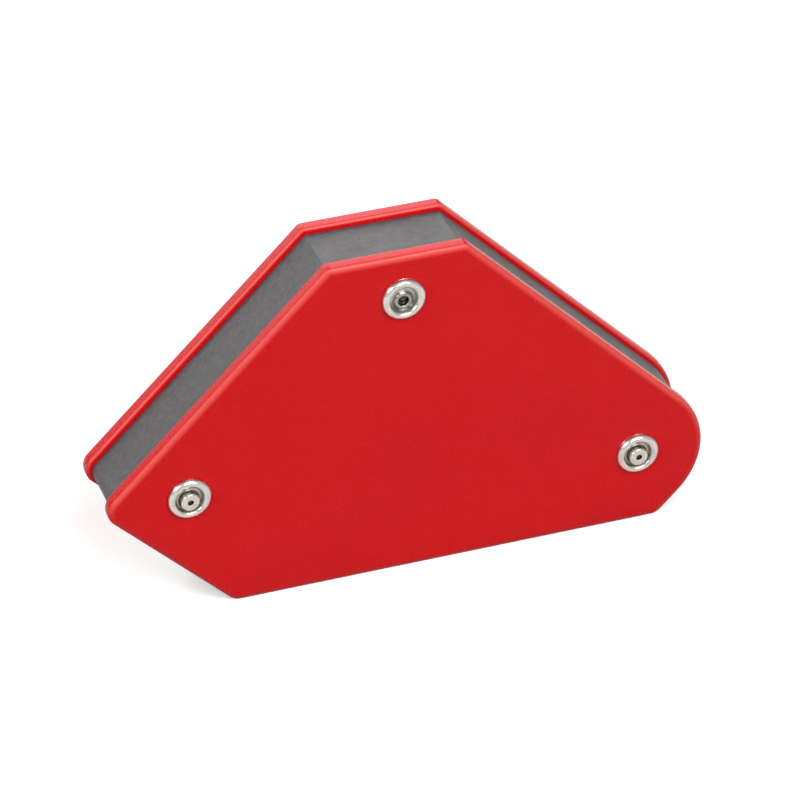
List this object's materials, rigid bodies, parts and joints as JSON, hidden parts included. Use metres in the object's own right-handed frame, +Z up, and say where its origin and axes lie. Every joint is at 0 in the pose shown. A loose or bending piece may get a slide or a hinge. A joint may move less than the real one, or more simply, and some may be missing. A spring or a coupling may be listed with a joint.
{
  "type": "welding magnet holder",
  "caption": "Small multi-angle welding magnet holder: riveted red steel side plates over a grey magnet core, with flat edges at 45 and 90 degrees to each other.",
  "frame": {"origin": "under the middle of the holder's overall box, on the surface that its long straight edge stands on", "axes": "+X along the long straight edge, towards the end with the large round nose; +Y through the thickness, from the plate with the ringed rivet ends to the plate with the domed rivet heads; +Z up, from the long edge to the short top edge"},
  "size_m": [0.0794, 0.014, 0.0468],
  "materials": {
    "red_powder_coat": "satin",
    "grey_moulding": "matte",
    "ferrite": "matte",
    "plated_steel": "satin",
    "sleeve_steel": "satin"
  },
  "bodies": {
    "root": {"front_plate": "red_powder_coat", "rear_plate": "red_powder_coat", "core_frame": "grey_moulding", "ferrite_magnet_left": "ferrite", "ferrite_magnet_right": "ferrite", "rivet_top": "plated_steel", "rivet_left": "plated_steel", "rivet_right": "plated_steel", "spacer_sleeve_top": "sleeve_steel", "spacer_sleeve_left": "sleeve_steel", "spacer_sleeve_right": "sleeve_steel"}
  },
  "joints": []
}
